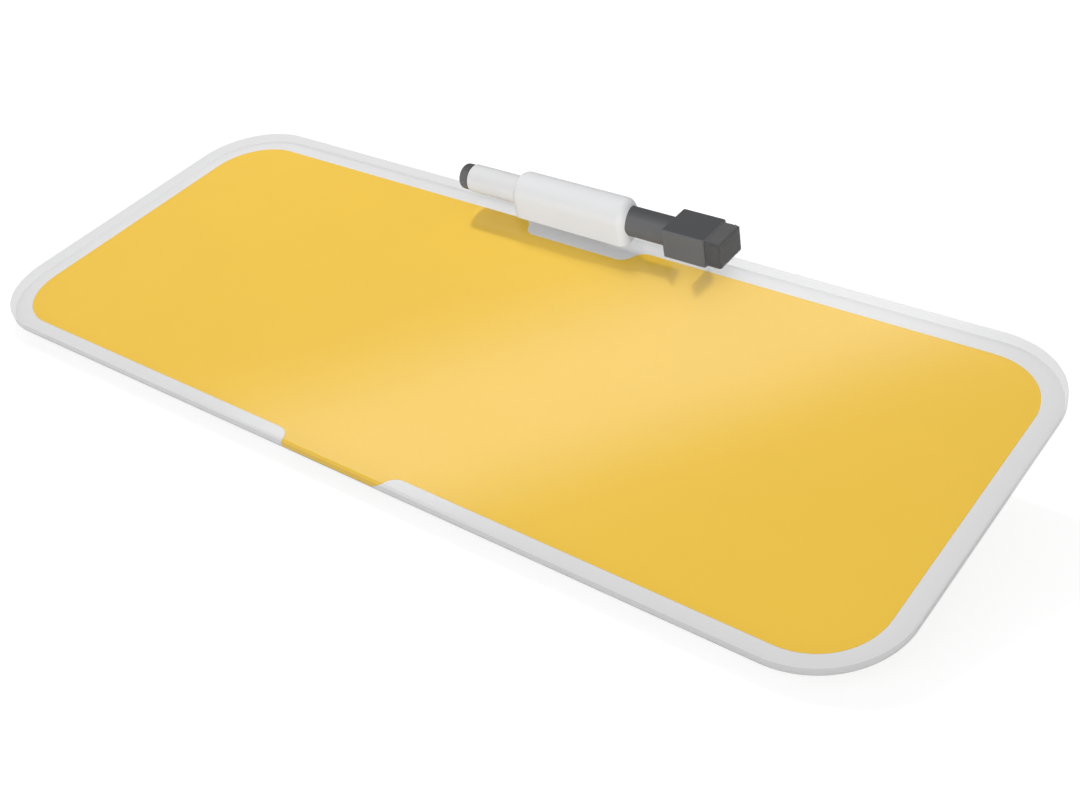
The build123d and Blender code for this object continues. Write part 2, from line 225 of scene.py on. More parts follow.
@dataclass
class EffectGraph(Graph):
    """The nodes of one effect's group. Each effect is the method of its own name.

    Args:
        tree: the group's tree.
        place: the socket of the pattern's coordinates.
        size: the socket of its repeats in a metre.
    """

    place: Socket
    size: Socket

    def noise(
        self, detail: float, warp: float = 0.0, times: float = 1.0, along: float = 1.0
    ) -> Socket:
        """Adds a noise pattern.

        Args:
            detail: how many finer layers it has.
            warp: how much it is distorted.
            times: its repeats, as a multiple of the effect's.
            along: its repeats along x, as a share of those across.

        Returns:
            The noise value's socket.
        """
        place = self.place
        if along != 1.0:
            place = self.out("ShaderNodeMapping", {"Vector": place, "Scale": (along, 1.0, 1.0)})
        scale = self.math("MULTIPLY", self.size, times)
        sockets = {"Vector": place, "Scale": scale, "Detail": detail, "Distortion": warp}
        return self.out("ShaderNodeTexNoise", sockets)

    def cells(self) -> Socket:
        """Adds small round cells, darkest at their middles."""
        sockets = {"Vector": self.place, "Scale": self.size}
        return self.add("ShaderNodeTexVoronoi", sockets).outputs["Distance"]

    def grain(self) -> Values:
        """Fine spark-eroded grain with broad, faint flow patches.

        Returns:
            Its height, tone and gloss.
        """
        pits = self.noise(detail=3.0)
        patches = self.noise(detail=2.0, warp=0.6, times=0.03)
        height = self.weigh(pits, 0.7, self.cells(), 0.3)
        return height, patches, self.weigh(pits, 0.5, patches, 0.5)

    def marks(self) -> Values:
        """Faint wiping marks, long in one direction, and a few finer hairlines.

        Returns:
            Their height, tone and gloss.
        """
        wipes = self.noise(detail=4.0, warp=1.2, along=0.25)
        hairs = self.noise(detail=1.0, times=22.0, along=0.04)
        fine = self.spread(hairs, 0.0, 1.0, start=0.68, end=0.74)
        tone = self.spread(wipes, 0.0, 1.0, start=0.35, end=0.7)
        dull = self.spread(wipes, 0.0, 0.8, start=0.4, end=0.75)
        return fine, tone, self.math("MAXIMUM", dull, fine)

    def nap(self) -> Values:
        """Matted fibres: short curled ridges over soft lumps.

        Returns:
            Their height, tone and gloss.
        """
        curls = self.noise(detail=5.0, warp=3.5)
        ridges = self.math("ABSOLUTE", self.math("SUBTRACT", curls, 0.5))
        lumps = self.noise(detail=2.0, times=0.22)
        height = self.weigh(lumps, 0.6, ridges, -1.0)
        return height, self.weigh(ridges, 2.2, lumps, 0.45), lumps

    def skin(self) -> Values:
        """Screen-printed paint: a very fine mesh mark and slow changes of thickness.

        Returns:
            Its height, tone and gloss.
        """
        fine = self.noise(detail=2.0)
        slow = self.noise(detail=3.0, warp=0.4, times=0.012)
        return self.cells(), self.weigh(slow, 0.75, fine, 0.25), fine


@cache
def effect_group(effect: Effect) -> NodeTree:
    """The effect's node group, built the first time it is asked for.

    Args:
        effect: which shared effect.

    Returns:
        A shader group with inputs Place and Size, and outputs Height, Tone and Gloss.
    """
    outputs = dict.fromkeys(("Height", "Tone", "Gloss"), FLOAT)
    inputs = {"Place": VECTOR, "Size": FLOAT}
    group, given = new_group(effect.value, "ShaderNodeTree", inputs, outputs)
    graph = EffectGraph(group.tree, given["Place"], given["Size"])
    made = getattr(graph, effect.name.lower())()
    graph.add("NodeGroupOutput", dict(zip(outputs, made)))
    return graph.tree


def use_effect(
    graph: Graph, effect: Effect, size: float, stretch: Point = (1.0, 1.0, 1.0)
) -> Outputs:
    """Places a shared effect in a material, in the object's own coordinates.

    Args:
        graph: the material's nodes.
        effect: which shared effect.
        size: its repeats in a metre.
        stretch: the pattern's scale along each axis.

    Returns:
        The outputs Height, Tone and Gloss.
    """
    place = graph.add("ShaderNodeTexCoord").outputs["Object"]
    place = graph.out("ShaderNodeMapping", {"Vector": place, "Scale": stretch})
    sockets = {"Place": place, "Size": size}
    return graph.add("ShaderNodeGroup", sockets, node_tree=effect_group(effect)).outputs


# Finishes


# How far up a surface faces where the painted shade on its top begins, and where it is full.
PAINTED_SHADE_RISE = (0.55, 0.95)


def rgba(colour: Colour, factor: float = 1.0) -> Rgba:
    """A colour as four numbers, each scaled by factor and kept at most 1."""
    return (*(min(1.0, c * factor) for c in colour), 1.0)


def grey(level: float) -> Rgba:
    """A grey as four numbers."""
    return rgba((level,) * 3)


def new_material(name: str) -> tuple[Material, Graph, Node]:
    """Makes a material.

    Args:
        name: its name.

    Returns:
        The material, a graph of its nodes, and its Principled surface.
    """
    material = bpy.data.materials.new(name)
    material.use_nodes = True
    return material, Graph(material.node_tree), material.node_tree.nodes["Principled BSDF"]


def pass_light(graph: Graph, whole: Socket, tint: Rgba, kinds: Sequence[str]) -> None:
    """Lets some kinds of ray go straight through a surface, tinted, and links the output.

    Args:
        graph: the material's nodes.
        whole: the surface that all other rays meet.
        tint: the light that gets through.
        kinds: the Light Path outputs that name those rays.
    """
    rays = graph.add("ShaderNodeLightPath").outputs
    clear = graph.out("ShaderNodeBsdfTransparent", {"Color": tint})
    for label in kinds:
        whole = graph.out("ShaderNodeMixShader", {0: rays[label], 1: whole, 2: clear})
    graph.feed(graph.tree.nodes["Material Output"], {"Surface": whole})


@dataclass(frozen=True)
class Finish:
    """A surface finish: a Principled surface whose colour, gloss and relief one effect varies.

    Args:
        name: the material's name.
        colour: the middle colour, linear.
        effect: the shared effect that varies it.
        grain: the effect's repeats in a metre.
        spread: how far the colour varies, as a share of itself.
        roughness: the least and most roughness.
        relief: how deep the grain is, in metres.
        sheen: the sheen's weight.
        metallic: 1 for bare metal.
        shine: the specular level, 0 for paint that lies against glass.
        cast: how much of its hue it throws on its neighbours.
        painted_top_shade: the share of its colour that is left where it faces up, as painted shade
            on its top.
        shade: the strength of its shadow and of its mirror image.
        stretch: the pattern's scale along each axis.
    """

    name: str
    colour: Colour
    effect: Effect
    grain: float
    spread: float
    roughness: tuple[float, float]
    relief: float
    sheen: float = 0.0
    metallic: float = 0.0
    shine: float = 0.5
    cast: float = 1.0
    painted_top_shade: float = 1.0
    shade: float = 1.0
    stretch: Point = (1.0, 1.0, 1.0)

    def build(self) -> Material:
        """Makes the material.

        Returns:
            The new material.
        """
        material, graph, surface = new_material(self.name)
        effect = use_effect(graph, self.effect, self.grain, self.stretch)
        dark, pale = rgba(self.colour, 1 - self.spread), rgba(self.colour, 1 + self.spread)
        colour = graph.blend(effect["Tone"], dark, pale)
        if self.cast < 1.0:
            thrown = graph.add("ShaderNodeLightPath").outputs["Is Diffuse Ray"]
            mask = graph.math("MULTIPLY", thrown, 1.0 - self.cast)
            colour = graph.blend(mask, colour, grey(sum(self.colour) / 3))
        # Painted shade: the colour darkens where the surface faces up.
        if self.painted_top_shade < 1.0:
            colour = self.paint_top_shade(graph, colour)
        relief = {"Height": effect["Height"], "Distance": self.relief}
        sockets = {
            "Base Color": colour,
            "Roughness": graph.spread(effect["Gloss"], *self.roughness),
            "Normal": graph.out("ShaderNodeBump", relief),
            "Sheen Weight": self.sheen,
            "Metallic": self.metallic,
            "Specular IOR Level": self.shine,
        }
        graph.feed(surface, sockets)
        if self.shade < 1.0:
            kinds = ("Is Shadow Ray", "Is Glossy Ray")
            pass_light(graph, surface.outputs[0], grey(1.0 - self.shade), kinds)
        return material

    def paint_top_shade(self, graph: Graph, colour: Socket) -> Socket:
        """Paints shade on the top: darkens the colour smoothly where the surface turns to face up.

        Args:
            graph: the material's nodes.
            colour: the colour all round.

        Returns:
            The colour with the painted shade on its top.
        """
        up = graph.part(graph.add("ShaderNodeTexCoord").outputs["Normal"], "Z")
        mask = graph.spread(up, 0.0, 1.0, *PAINTED_SHADE_RISE)
        sockets = {0: colour, 1: (self.painted_top_shade,) * 3}
        dark = graph.out("ShaderNodeVectorMath", sockets, operation="MULTIPLY")
        return graph.blend(mask, colour, dark)


@dataclass(frozen=True)
class GlassFinish:
    """Clear glass under a polished skin, which lets the lamps' light pass.

    Args:
        name: the material's name.
        tint: the colour that each face lets through.
        blur: the roughness of the gloss.
        polish: the weight of the mirror skin, 0 where paint lies against the glass.
        inner: the colour that a face lets out from inside, where it differs from the tint.
        bend: the body's index of refraction, 1 so that the print keeps its place.
        skin_bend: the mirror skin's index of refraction.
        marks: the repeats in a metre of the handling marks in the skin.
        marked: the share of the skin's weight that is left in a mark.
    """

    name: str
    tint: Colour
    blur: float
    polish: float = 1.0
    inner: Colour | None = None
    bend: float = 1.0
    skin_bend: float = 1.38
    marks: float = 28.0
    marked: float = 0.93

    def build(self) -> Material:
        """Makes the material.

        Returns:
            The new material.
        """
        material, graph, surface = new_material(self.name)
        sockets = {
            "Base Color": rgba(self.tint),
            "Roughness": 0.0,
            "IOR": self.bend,
            "Transmission Weight": 1.0,
            "Coat Weight": 0.0,
            "Coat Roughness": self.blur,
            "Coat IOR": self.skin_bend,
        }
        if self.polish:
            tone = use_effect(graph, Effect.MARKS, self.marks)["Tone"]
            sockets["Coat Weight"] = graph.spread(tone, self.polish, self.polish * self.marked)
        whole = graph.feed(surface, sockets).outputs[0]
        if self.inner:
            leaving = graph.add("ShaderNodeNewGeometry").outputs["Backfacing"]
            freed = graph.out("ShaderNodeBsdfTransparent", {"Color": rgba(self.inner)})
            whole = graph.out("ShaderNodeMixShader", {0: leaving, 1: whole, 2: freed})
        pass_light(graph, whole, rgba(self.tint), ("Is Diffuse Ray", "Is Shadow Ray"))
        return material


CLEAR = (0.987, 0.989, 0.988)
INNER_GREY = (0.71, 0.71, 0.715)
GLASS_FACE = GlassFinish("float glass", CLEAR, 0.13)
GLASS_BACK = GlassFinish("painted glass back", CLEAR, 0.13, polish=0.0)
GLASS_EDGE = GlassFinish("satin glass edge", (0.76, 0.76, 0.765), 0.25, inner=INNER_GREY)
GLASS_LOWER_ARRIS = GlassFinish("lower glass arris", (0.66, 0.67, 0.66), 0.25, inner=INNER_GREY)
BORDER_PAINT = Finish(
    "pale border paint", (0.8, 0.795, 0.8), Effect.SKIN, 2600.0, 0.02, (0.5, 0.6), 2e-6, shine=0.0
)
FIELD_PAINT = Finish(
    "warm yellow paint", (0.925, 0.588, 0.07), Effect.SKIN, 2600.0, 0.025, (0.5, 0.6), 2e-6,
    shine=0.0, cast=0.15,
)
SLEEVE_PLASTIC = Finish(
    "satin white sleeve plastic", (0.735, 0.74, 0.75), Effect.GRAIN, 1500.0, 0.015, (0.38, 0.5),
    8e-6, shade=0.14,
)
BARREL_PLASTIC = Finish(
    "white barrel plastic", (0.7, 0.7, 0.705), Effect.MARKS, 60.0, 0.01, (0.4, 0.52), 2e-6,
    shine=0.3,
)
# Its colour is darkened on upward faces, a painted shade.
DARK_PLASTIC = Finish(
    "charcoal pen plastic", (0.135, 0.137, 0.143), Effect.GRAIN, 1700.0, 0.08,
    (0.45, 0.58), 1.2e-5, shine=0.2, painted_top_shade=0.5, shade=0.03,
)
FELT = Finish(
    "charcoal felt", (0.074, 0.074, 0.077), Effect.NAP, 1500.0, 0.35, (0.85, 1.0), 1.2e-4,
    sheen=0.35, shade=0.01,
)
STAND_PLASTIC = Finish(
    "matt white stand plastic", (0.78, 0.78, 0.785), Effect.GRAIN, 900.0, 0.015, (0.5, 0.62), 2.2e-5
)
COVER_PLASTIC = Finish(
    "matt white cover plastic", (0.72, 0.72, 0.725), Effect.GRAIN, 700.0, 0.02, (0.55, 0.68), 3e-5
)
FOOT_RUBBER = Finish(
    "grey foot rubber", (0.26, 0.26, 0.265), Effect.GRAIN, 1100.0, 0.08, (0.72, 0.88), 2e-5
)
GRIP_RUBBER = Finish(
    "pale grip rubber", (0.5, 0.5, 0.49), Effect.GRAIN, 1100.0, 0.05, (0.7, 0.85), 2e-5
)
FOAM_TAPE = Finish(
    "white foam tape", (0.62, 0.62, 0.6), Effect.NAP, 1400.0, 0.06, (0.8, 0.95), 3e-5, shade=0.05
)
SCREW_STEEL = Finish(
    "zinc-plated steel", (0.55, 0.56, 0.57), Effect.MARKS, 900.0, 0.08, (0.25, 0.42), 3e-6,
    metallic=1.0,
)
NECK_PLASTIC = Finish(
    "pale neck plastic", (0.62, 0.62, 0.63), Effect.GRAIN, 1500.0, 0.02, (0.3, 0.42), 6e-6,
    shade=0.05,
)
LINER_PLASTIC = Finish(
    "soft liner plastic", (0.6, 0.6, 0.6), Effect.GRAIN, 1500.0, 0.03, (0.45, 0.6), 6e-6,
    shade=0.05,
)
INK_FIBRE = Finish(
    "ink-soaked fibre", (0.02, 0.02, 0.026), Effect.NAP, 2200.0, 0.3, (0.6, 0.8), 3e-5,
    shade=0.1, stretch=(0.15, 1.0, 1.0),
)


@cache
def material_of(finish: Finish | GlassFinish) -> Material:
    """The finish's material, built the first time it is asked for."""
    return finish.build()


# Places and meshes


SMOOTH_ANGLE = math.radians(38.0)
WELD = 1e-6


@dataclass(frozen=True)
class BoardFrame:
    """Where the board's own directions lie in the frame.

    Args:
        slope: the board's tilt, in radians.
        middle: the middle of the glass's top face.
    """

    slope: float
    middle: Vector

    @classmethod
    def from_frame(cls, glass_thickness: float) -> "BoardFrame":
        """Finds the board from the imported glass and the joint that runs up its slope.

        Args:
            glass_thickness: the glass's thickness.

        Returns:
            The board's frame.
        """
        pull = next(j for j in frame["joints"] if j["name"] == "holder_pull")
        slope = math.atan2(pull["axis"][2], pull["axis"][1])
        low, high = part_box("glass_plate")
        off_glass = Vector((0.0, -math.sin(slope), math.cos(slope)))
        return cls(slope, (low + high) / 2 + off_glass * glass_thickness / 2)

    def matrix(self, x: float = 0.0, y: float = 0.0, z: float = 0.0) -> Matrix:
        """The matrix that sets a mesh made about (x, y, z) on the board into the frame."""
        turn = Matrix.Translation(self.middle) @ Matrix.Rotation(self.slope, 4, "X")
        return turn @ Matrix.Translation((x, y, z))


def add_object(name: str, data: bpy.types.ID) -> Object:
    """Puts a mesh, lamp or camera into the scene as an object at the origin.

    Args:
        name: the object's name.
        data: the mesh, lamp or camera.

    Returns:
        The new object.
    """
    item = bpy.data.objects.new(name, data)
    bpy.context.scene.collection.objects.link(item)
    return item


def bake_modifiers(item: Object) -> None:
    """Turns an object's modifiers into its plain mesh and removes them.

    Args:
        item: the object.
    """
    graph = bpy.context.evaluated_depsgraph_get()
    mesh = bpy.data.meshes.new_from_object(
        item.evaluated_get(graph), preserve_all_data_layers=True, depsgraph=graph
    )
    item.modifiers.clear()
    old = item.data
    item.data = mesh
    mesh.name = item.name
    bpy.data.meshes.remove(old)


def smooth(mesh: Mesh) -> None:
    """Shades a mesh smooth but for its sharp edges."""
    mesh.shade_smooth()
    mesh.set_sharp_from_angle(angle=SMOOTH_ANGLE)


def mesh_object(name: str, shape: BMesh, place: Matrix, finish: Finish) -> Object:
    """Makes an object from a built shape, smooth but for its sharp edges.

    Args:
        name: the piece's name.
        shape: the mesh being built, which is freed.
        place: where it goes in the frame.
        finish: the finish for all its faces.

    Returns:
        The new object.
    """
    bmesh.ops.recalc_face_normals(shape, faces=shape.faces)
    shape.transform(place)
    mesh = bpy.data.meshes.new(name)
    shape.to_mesh(mesh)
    shape.free()
    mesh.materials.append(material_of(finish))
    smooth(mesh)
    return add_object(name, mesh)


def place_piece(item: Object, body: str, nodes: Sequence[str]) -> None:
    """Makes a finished piece ride on its body in place of CAD nodes, and reports it.

    Args:
        item: the piece.
        body: the CAD body that it moves with.
        nodes: the CAD nodes that it stands for.
    """
    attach(item, body)
    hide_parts(*nodes)
    LOG.info("%s: %d faces, on %s", item.name, len(item.data.polygons), body)


def dress_nodes(**finishes: Finish) -> None:
    """Gives CAD nodes that are shown as they are their finishes, and reports them.

    Args:
        finishes: each node's finish, for all its faces.
    """
    for node, finish in finishes.items():
        for place in frame["nodes"][node].material_slots:
            place.material = material_of(finish)
        LOG.info("%s: CAD shape in %s", node, finish.name)


def lathe(profile: Sequence[tuple[float, float]], segments: int) -> BMesh:
    """Turns a profile about the z axis, closed at an end that lies on the axis.

    Args:
        profile: (radius, height) points.
        segments: how many steps go round.

    Returns:
        The turned shape.
    """
    shape = bmesh.new()
    rings = []
    for radius, height in profile:
        angles = [2 * math.pi * k / segments for k in range(segments if radius else 1)]
        ring = [(radius * math.cos(a), radius * math.sin(a), height) for a in angles]
        rings.append([shape.verts.new(corner) for corner in ring])
    for first, second in zip(rings, rings[1:]):
        for k in range(segments):
            corners = [first[k % len(first)], first[(k + 1) % len(first)]]
            corners += [second[(k + 1) % len(second)], second[k % len(second)]]
            shape.faces.new(list(dict.fromkeys(corners)))
    return shape


def run_tree(name: str, tree: NodeTree, values: dict[str, object]) -> Object:
    """Runs a Geometry Nodes tree on an empty mesh and keeps the result as a plain mesh.

    Args:
        name: the piece's name.
        tree: the tree that makes it.
        values: a value for each of the tree's inputs.

    Returns:
        The new object.
    """
    item = add_object(name, bpy.data.meshes.new(name))
    modifier = item.modifiers.new("tree", "NODES")
    modifier.node_group = tree
    keys = {s.name: s.identifier for s in tree.interface.items_tree if s.in_out == "INPUT"}
    for label, value in values.items():
        modifier[keys[label]] = value
    bake_modifiers(item)
    if item.data.materials[0] is None:
        item.data.materials.pop(index=0)
    return item


# Glass and print


class SheetSlot(enum.IntEnum):
    """The sheet's material slots."""

    FACE = 0
    EDGE = 1
    BACK = 2
    LOWER_ARRIS = 3


@dataclass
class GlassSheet:
    """The clear sheet with its polished edge, over the print on its back.

    The sheet ends a hair above the print, so that the two never share a face. The edge's
    finish starts at edge_from and the back's at back_from, in thicknesses from the face.
    """

    length: float = 0.380
    depth: float = 0.150
    thickness: float = 0.004
    print_gap: float = 0.00004
    corner: float = 0.030
    arris: float = 0.0007
    corner_steps: int = 28
    arris_steps: int = 5
    rim_angle: float = 60.0
    edge_from: float = -0.25
    back_from: float = -0.75

    def sheet_tree(self) -> NodeTree:
        """Builds the tree of a round-cornered sheet: outline, fill, thickness, finishes.

        Returns:
            The tree.
        """
        inputs = dict.fromkeys(("Length", "Depth", "Thickness", "Corner"), FLOAT)
        finishes = ("Face Finish", "Edge Finish", "Back Finish")
        inputs |= dict.fromkeys(finishes, MATERIAL) | {"Corner Steps": INTEGER}
        graph, given = new_group("glass sheet", "GeometryNodeTree", inputs, {"Geometry": GEOMETRY})
        sizes = {"Width": given["Length"], "Height": given["Depth"]}
        outline = graph.out("GeometryNodeCurvePrimitiveQuadrilateral", sizes)
        corner = {"Curve": outline, "Count": given["Corner Steps"], "Radius": given["Corner"]}
        outline = graph.out("GeometryNodeFilletCurve", corner, mode="POLY")
        face = graph.out("GeometryNodeFillCurve", {"Curve": outline}, mode="NGONS")
        down = graph.vector(Z=graph.math("MULTIPLY", given["Thickness"], -1.0))
        sinking = {"Mesh": face, "Offset": down, "Offset Scale": 1.0}
        both = graph.join(face, graph.out("GeometryNodeExtrudeMesh", sinking))
        sheet = graph.out("GeometryNodeMergeByDistance", {"Geometry": both, "Distance": WELD})
        whole = graph.out("GeometryNodeRealizeInstances", {0: sheet})
        height = graph.part(graph.out("GeometryNodeInputPosition"), "Z")
        height = graph.math("DIVIDE", height, given["Thickness"])
        for label, top in zip(finishes, (None, self.edge_from, self.back_from)):
            sockets = {"Geometry": whole, "Material": given[label]}
            if top is not None:
                sockets["Selection"] = graph.math("LESS_THAN", height, top)
            whole = graph.out("GeometryNodeSetMaterial", sockets)
        graph.add("NodeGroupOutput", {0: whole})
        return graph.tree

    def round_rims(self, sheet: Object) -> None:
        """Rounds both rims, the upper one in the face's finish, the lower one in its own.

        Args:
            sheet: the level sheet, its top face at height 0.
        """
        rounding = sheet.modifiers.new("arris", "BEVEL")
        rounding.width = self.arris
        rounding.segments = self.arris_steps
        rounding.limit_method = "ANGLE"
        rounding.angle_limit = math.radians(self.rim_angle)
        rounding.material = SheetSlot.EDGE
        bake_modifiers(sheet)
        sheet.data.materials.append(material_of(GLASS_LOWER_ARRIS))
        for face in sheet.data.polygons:
            if face.material_index != SheetSlot.EDGE:
                continue
            if face.center.z > -self.arris:
                face.material_index = SheetSlot.FACE
            elif face.center.z < self.arris - self.thickness:
                face.material_index = SheetSlot.LOWER_ARRIS

    def build(self, board: BoardFrame) -> None:
        """Makes the sheet and dresses the two prints.

        Args:
            board: where the board lies.
        """
        values = {
            "Length": self.length, "Depth": self.depth, "Corner": self.corner,
            "Thickness": self.thickness - self.print_gap, "Corner Steps": self.corner_steps,
            "Face Finish": material_of(GLASS_FACE), "Edge Finish": material_of(GLASS_EDGE),
            "Back Finish": material_of(GLASS_BACK),
        }
        sheet = run_tree("glass_sheet", self.sheet_tree(), values)
        shape = bmesh.new()
        shape.from_mesh(sheet.data)
        bmesh.ops.recalc_face_normals(shape, faces=shape.faces)
        shape.to_mesh(sheet.data)
        shape.free()
        self.round_rims(sheet)
        sheet.data.transform(board.matrix())
        smooth(sheet.data)
        # The large flat faces set the shading, as on a polished sheet.
        weighted = sheet.modifiers.new("weigh normals", "WEIGHTED_NORMAL")
        weighted.keep_sharp = True
        weighted.weight = 100
        bake_modifiers(sheet)
        place_piece(sheet, "board", ["glass_plate"])
        dress_nodes(border_print=BORDER_PAINT, field_print=FIELD_PAINT)


# Stand


def grid_tree() -> NodeTree:
    """Builds the tree that repeats a piece on a level grid, each one turned by chance.

    Returns:
        The tree.
    """
    inputs = {"Piece": OBJECT, "Place": VECTOR, "Finish": MATERIAL}
    inputs |= dict.fromkeys(("Columns", "Rows", "Seed"), INTEGER)
    inputs |= dict.fromkeys(("Length", "Depth", "Turn"), FLOAT)
    graph, given = new_group("piece grid", "GeometryNodeTree", inputs, {"Geometry": GEOMETRY})
    sizes = {"Size X": given["Length"], "Size Y": given["Depth"]}
    counts = {"Vertices X": given["Columns"], "Vertices Y": given["Rows"]}
    grid = graph.out("GeometryNodeMeshGrid", sizes | counts)
    moved = {"Geometry": grid, "Translation": given["Place"]}
    angle = graph.vector(Z=graph.chance(given["Seed"], 0.0, given["Turn"]))
    piece = graph.add("GeometryNodeObjectInfo", {"Object": given["Piece"]}).outputs["Geometry"]
    sockets = {
        "Points": graph.out("GeometryNodeTransform", moved),
        "Instance": piece,
        "Rotation": graph.out("FunctionNodeEulerToRotation", {0: angle}),
    }
    return graph.end(graph.out("GeometryNodeInstanceOnPoints", sockets), given["Finish"])


@dataclass
class Stand:
    """The hollow stand, the cover that closes it from below, its screws, feet and tape.

    head_rim is in shares of the head's radius and height, and thread in shares of the
    thread's depth and pitch.
    """

    screw_radius: float = 0.0011
    screw_length: float = 0.00555
    screw_segments: int = 32
    head_radius: float = 0.0021
    head_height: float = 0.0011
    head_rim: tuple[tuple[float, float], ...] = (
        (0.64, 0.0), (0.83, 0.07), (0.95, 0.25), (1.0, 0.5), (1.0, 0.93), (0.97, 1.0)
    )
    cross_reach: float = 0.00115
    cross_width: float = 0.00048
    cross_depth: float = 0.0006
    cross_taper: float = 0.7
    thread_pitch: float = 0.0007
    thread_depth: float = 0.00025
    thread: tuple[tuple[float, float], ...] = ((1.0, 0.3), (1.0, 0.55), (0.0, 0.85), (0.0, 1.0))
    plain_end: float = 0.0005
    point_length: float = 0.0003
    foot_radius: float = 0.007
    foot_height: float = 0.002
    foot_round: float = 0.0004
    foot_bevel: float = 0.0002
    foot_segments: int = 72
    round_steps: int = 5
    dimple_radii: tuple[float, float] = (0.0009, 0.0012)
    groove_radii: tuple[float, ...] = (0.0026, 0.0041, 0.0056)
    groove_width: float = 0.0005
    groove_depth: float = 0.0003
    groove_taper: float = 0.6
    seed: int = 3

    def screw(self) -> BMesh:
        """One pan-head screw with its head down: a cross recess, a ridged shank and a point.

        Returns:
            The screw, its head's face at height 0.
        """
        profile = [(self.head_radius * r, self.head_height * h) for r, h in self.head_rim]
        level = self.head_height
        profile.append((self.screw_radius, level))
        while level + self.thread_pitch < self.screw_length - self.plain_end:
            for depth, share in self.thread:
                radius = self.screw_radius - self.thread_depth * depth
                profile.append((radius, level + self.thread_pitch * share))
            level += self.thread_pitch
        root = self.screw_radius - self.thread_depth
        profile.append((root, self.screw_length - self.point_length))
        profile += [(root / 2, self.screw_length), (0.0, self.screw_length)]
        shape = lathe(profile, self.screw_segments)
        self.cut_cross(shape)
        return shape

    def cut_cross(self, shape: BMesh) -> None:
        """Closes the head's open face with a flat that has a tapered cross sunk in it.

        Args:
            shape: the screw, open at its lowest ring.
        """
        rim = [edge for edge in shape.edges if edge.is_boundary]
        far, near = self.cross_reach, self.cross_width / 2
        quarter = [(far, -near), (far, near), (near, near)]
        outline = []
        for k in range(4):
            turn = Matrix.Rotation(k * math.pi / 2, 2)
            outline += [turn @ Vector(corner) for corner in quarter]
        mouth = [shape.verts.new((x, y, 0.0)) for x, y in outline]
        edges = [shape.edges.new((a, b)) for a, b in zip(mouth, mouth[1:] + mouth[:1])]
        bmesh.ops.triangle_fill(shape, use_beauty=True, edges=rim + edges)
        for face in [f for f in shape.faces if all(v in mouth for v in f.verts)]:
            shape.faces.remove(face)
        taper, depth = self.cross_taper, self.cross_depth
        floor = [shape.verts.new((x * taper, y * taper, depth)) for x, y in outline]
        for k in range(len(mouth)):
            following = (k + 1) % len(mouth)
            shape.faces.new((mouth[k], mouth[following], floor[following], floor[k]))
        shape.faces.new(floor)

    def foot(self) -> BMesh:
        """One rubber disc with ring grooves in its sole and a round lower edge.

        Returns:
            The foot, its sole at height 0.
        """
        inner, outer = self.dimple_radii
        profile = [(0.0, self.groove_depth), (inner, self.groove_depth), (outer, 0.0)]
        half = self.groove_width / 2
        floor = half * self.groove_taper
        for radius in self.groove_radii:
            profile += [(radius - half, 0.0), (radius - floor, self.groove_depth)]
            profile += [(radius + floor, self.groove_depth), (radius + half, 0.0)]
        for step in range(self.round_steps + 1):
            angle = math.radians(90 / self.round_steps * step)
            out = self.foot_radius - self.foot_round * (1 - math.sin(angle))
            profile.append((out, self.foot_round * (1 - math.cos(angle))))
        profile.append((self.foot_radius, self.foot_height - self.foot_bevel))
        profile += [(self.foot_radius - self.foot_bevel, self.foot_height), (0.0, self.foot_height)]
        return lathe(profile, self.foot_segments)

    def repeat(
        self, name: str, shape: BMesh, nodes: Sequence[str], counts: tuple[int, int],
        radius: float, turn: float, finish: Finish,
    ) -> None:
        """Repeats a piece over the grid that its CAD nodes fill, in their place.

        Args:
            name: the new piece's name.
            shape: one piece, standing on z = 0, which is freed.
            nodes: the CAD nodes that hold the pieces' places.
            counts: how many along and across.
            radius: the piece's radius.
            turn: how far a piece may be turned by chance, in radians.
            finish: its finish.
        """
        boxes = [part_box(node) for node in nodes]
        low = Vector([min(box[0][k] for box in boxes) for k in range(3)])
        high = Vector([max(box[1][k] for box in boxes) for k in range(3)])
        source = mesh_object(name + "_one", shape, Matrix.Identity(4), finish)
        values = {
            "Piece": source, "Columns": counts[0], "Rows": counts[1],
            "Length": high[0] - low[0] - 2 * radius,
            "Depth": high[1] - low[1] - 2 * radius,
            "Place": ((low[0] + high[0]) / 2, (low[1] + high[1]) / 2, low[2]),
            "Turn": turn, "Seed": self.seed, "Finish": material_of(finish),
        }
        item = run_tree(name, grid_tree(), values)
        bpy.data.objects.remove(source)
        place_piece(item, "board", nodes)

    def build(self) -> None:
        """Makes the screws and feet, and dresses the mouldings and the tape."""
        self.repeat(
            "stand_screws", self.screw(), ["cover_screws"], (3, 2),
            self.head_radius, math.pi, SCREW_STEEL,
        )
        ends = [(row, end) for row in ("front", "rear") for end in ("left", "right")]
        nodes = [f"rubber_foot_{row}_{end}" for row, end in ends]
        self.repeat(
            "stand_feet", self.foot(), nodes, (2, 2),
            self.foot_radius, 0.0, FOOT_RUBBER,
        )
        dress_nodes(stand_shell=STAND_PLASTIC, stand_cover=COVER_PLASTIC)
        for side in ("front", "rear", "left", "right"):
            dress_nodes(**{"bond_strip_" + side: FOAM_TAPE})


# Pen sleeve, pen and eraser cap


class PenSleeve:
    """The sleeve that clips over the back edge and carries the pen."""

    def build(self) -> None:
        """Dresses the sleeve and the pad on its jaw."""
        dress_nodes(pen_holder=SLEEVE_PLASTIC, grip_pad=GRIP_RUBBER)


class Pen:
    """The marker pen: a white barrel, its dark end, and the works inside."""

    def build(self) -> None:
        """Dresses the pen's pieces."""
        dress_nodes(pen_barrel=BARREL_PLASTIC, pen_end_plug=DARK_PLASTIC)
        dress_nodes(ink_reservoir=INK_FIBRE, nib_holder=NECK_PLASTIC, nib=INK_FIBRE)


